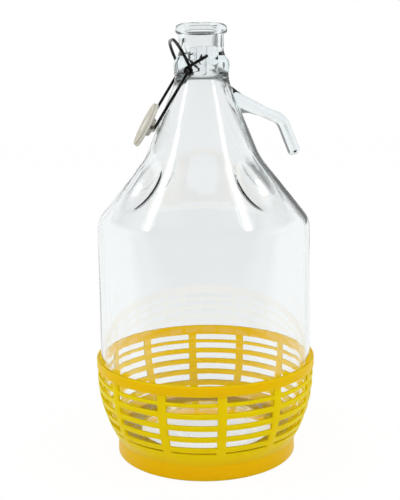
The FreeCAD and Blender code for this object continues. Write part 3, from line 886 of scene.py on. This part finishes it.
dark_wire = make_wire()
wear(lever, dark_wire)
wear(bail, dark_wire)
wear(stopper, make_cream("cream_plastic", (0.82, 0.80, 0.71), 0.35))
wear(seal, make_cream("cream_rubber", (0.66, 0.63, 0.52), 0.55))

# %% [markdown]
# The picture was taken on white. The camera sees a white floor and a white world, and rough things
# are lit at a plain level. Glass and metal show a studio instead: a white backdrop, a dark ring
# between it and the lit ceiling, a dark card behind on the right, and a dark room on the camera's
# side. They draw the dark lines that show a clear bottle's edge. They are set for this camera:
# seen from behind, the glass shows the dark room and looks grey.

# %% Floor and world
FLOOR_SIZE = 12.0
FLOOR_WHITE = 0.90
FLOOR_GLOW = 1.03
WHITE = (1.0, 1.0, 1.0)
DARK_RING = (0.22, 0.22, 0.22)
ROOM_LEVEL = 0.1
DARK_FLOOR = (0.08, 0.08, 0.08)
FLOOR_DARK_FROM = -0.40
FLOOR_LIT_FROM = -0.15
DARK_CARD = (level_forward + 0.47 * level_right + 0.15 * upward).normalized()
CARD_EDGE = math.radians(17)
CARD_CORE = math.radians(9)
CARD_DEPTH = 0.8
PLAIN_LIGHT = 0.85


def seen_directly(tree):
    rays = tree.nodes.new("ShaderNodeLightPath")
    return (Signal(tree, rays.outputs["Is Camera Ray"]) | Signal(tree, rays.outputs["Is Glossy Ray"])
            | Signal(tree, rays.outputs["Is Transmission Ray"]))


def make_floor():
    bpy.ops.object.select_all(action="DESELECT")
    bpy.ops.mesh.primitive_plane_add(size=FLOOR_SIZE, location=(0, 0, -0.05 * MM))
    floor = bpy.context.object
    floor.name = "floor"
    material, tree, surface = start_material("floor_paper")
    surface.inputs["Base Color"].default_value = (0.80, 0.80, 0.80, 1)
    surface.inputs["Roughness"].default_value = 0.9
    surface.inputs["Specular IOR Level"].default_value = 0.0
    glow = tree.nodes.new("ShaderNodeEmission")
    glow.inputs["Strength"].default_value = FLOOR_GLOW
    place_on = add_node(tree, "ShaderNodeTexCoord", output="Object")
    camera_ray = add_node(tree, "ShaderNodeLightPath", output="Is Camera Ray")
    ahead = dot_product(tree, place_on, level_forward)
    lit = camera_ray | ramp_over(tree, ahead, FLOOR_DARK_FROM, FLOOR_LIT_FROM)
    tone = add_node(tree, "ShaderNodeValToRGB", {"stops": [(0.0, DARK_FLOOR), (1.0, WHITE)]}, Fac=lit)
    plug(tree, glow.inputs["Color"], tone)
    mixer = tree.nodes.new("ShaderNodeMixShader")
    plug(tree, mixer.inputs[0], seen_directly(tree) * FLOOR_WHITE)
    tree.links.new(surface.outputs[0], mixer.inputs[1])
    tree.links.new(glow.outputs[0], mixer.inputs[2])
    tree.links.new(mixer.outputs[0], tree.nodes["Material Output"].inputs["Surface"])
    wear(floor, material)
    return floor


def make_world():
    world = bpy.data.worlds.new("studio")
    bpy.context.scene.world = world
    world.use_nodes = True
    tree = world.node_tree
    camera_ray = add_node(tree, "ShaderNodeLightPath", output="Is Camera Ray")
    direction = add_node(tree, "ShaderNodeTexCoord", output="Generated")
    height = add_node(tree, "ShaderNodeSeparateXYZ", output="Z", Vector=direction)
    ring = add_node(tree, "ShaderNodeValToRGB",
                    {"stops": [(0.32, WHITE), (0.48, DARK_RING), (0.76, DARK_RING), (0.90, WHITE)]}, Fac=height)
    card = ramp_over(tree, dot_product(tree, direction, DARK_CARD), math.cos(CARD_EDGE), math.cos(CARD_CORE))
    backdrop = ramp_over(tree, dot_product(tree, direction, level_forward), -0.35, 0.05)
    studio = ring * (1 - card * CARD_DEPTH) * (backdrop * (1 - ROOM_LEVEL) + ROOM_LEVEL)
    seen = camera_ray + (1 - camera_ray) * studio
    reflected = seen_directly(tree)
    strength = reflected * seen + (1 - reflected) * PLAIN_LIGHT
    background = tree.nodes["Background"]
    background.inputs["Color"].default_value = (1, 1, 1, 1)
    plug(tree, background.inputs["Strength"], strength)


floor = make_floor()
make_world()
print("floor and world ready")

# %% [markdown]
# Two tall strips beside the camera give the long white streaks on the cone, and each has a wider
# and fainter one behind it, which softens the streak's edge. A wide soft box
# overhead models the basket, and is hidden from reflections so that it leaves no patch.

# %% Lights
AIM = Vector((0, 0, 200 * MM))


def hang(lamp, lean):
    """Turns a lamp so that it faces the bottle, with its height along a given direction."""
    back = (lamp.location - AIM).normalized()
    up = (lean - back * lean.dot(back)).normalized()
    lamp.rotation_euler = Matrix((up.cross(back), up, back)).transposed().to_euler()


def soft_box(name, place_at, lean, width, height, radiance, reflected=True):
    """An area lamp whose power follows from its size and its brightness."""
    bpy.ops.object.select_all(action="DESELECT")
    bpy.ops.object.light_add(type="AREA", location=place_at)
    lamp = bpy.context.object
    lamp.name = name
    lamp.data.shape = "RECTANGLE"
    lamp.data.size = width
    lamp.data.size_y = height
    lamp.data.energy = radiance * math.pi * width * height
    hang(lamp, lean)
    lamp.visible_camera = False
    lamp.visible_glossy = reflected
    lamp.visible_transmission = reflected


def beside(side, ahead, up):
    """A place in the studio, measured to the camera's right, towards it and up."""
    return level_right * side - level_forward * ahead + upward * up


def strip(name, low_end, high_end):
    """A tall strip lamp between two places, with a wider and fainter one behind it for a soft edge."""
    lean = high_end - low_end
    middle = (low_end + high_end) / 2
    length = STRIP_REACH * lean.length
    soft_box(name, middle, lean, STRIP_WIDTH, length, STRIP_RADIANCE)
    behind = middle + (middle - AIM) * 0.02
    soft_box(name + "_glow", behind, lean, 2.4 * STRIP_WIDTH, length, 0.3 * STRIP_RADIANCE)


STRIP_WIDTH = 0.13
STRIP_REACH = 1.25
STRIP_RADIANCE = 3.6
strip("right_strip", beside(0.97, 0.68, 1.16), beside(0.71, 0.10, 1.56))
strip("left_strip", beside(-1.18, 0.38, 1.09), beside(-0.86, -0.12, 1.46))
soft_box("overhead", beside(0.1, 0.5, 1.8), level_forward, 1.2, 1.0, 0.4, reflected=False)
print("lights ready")
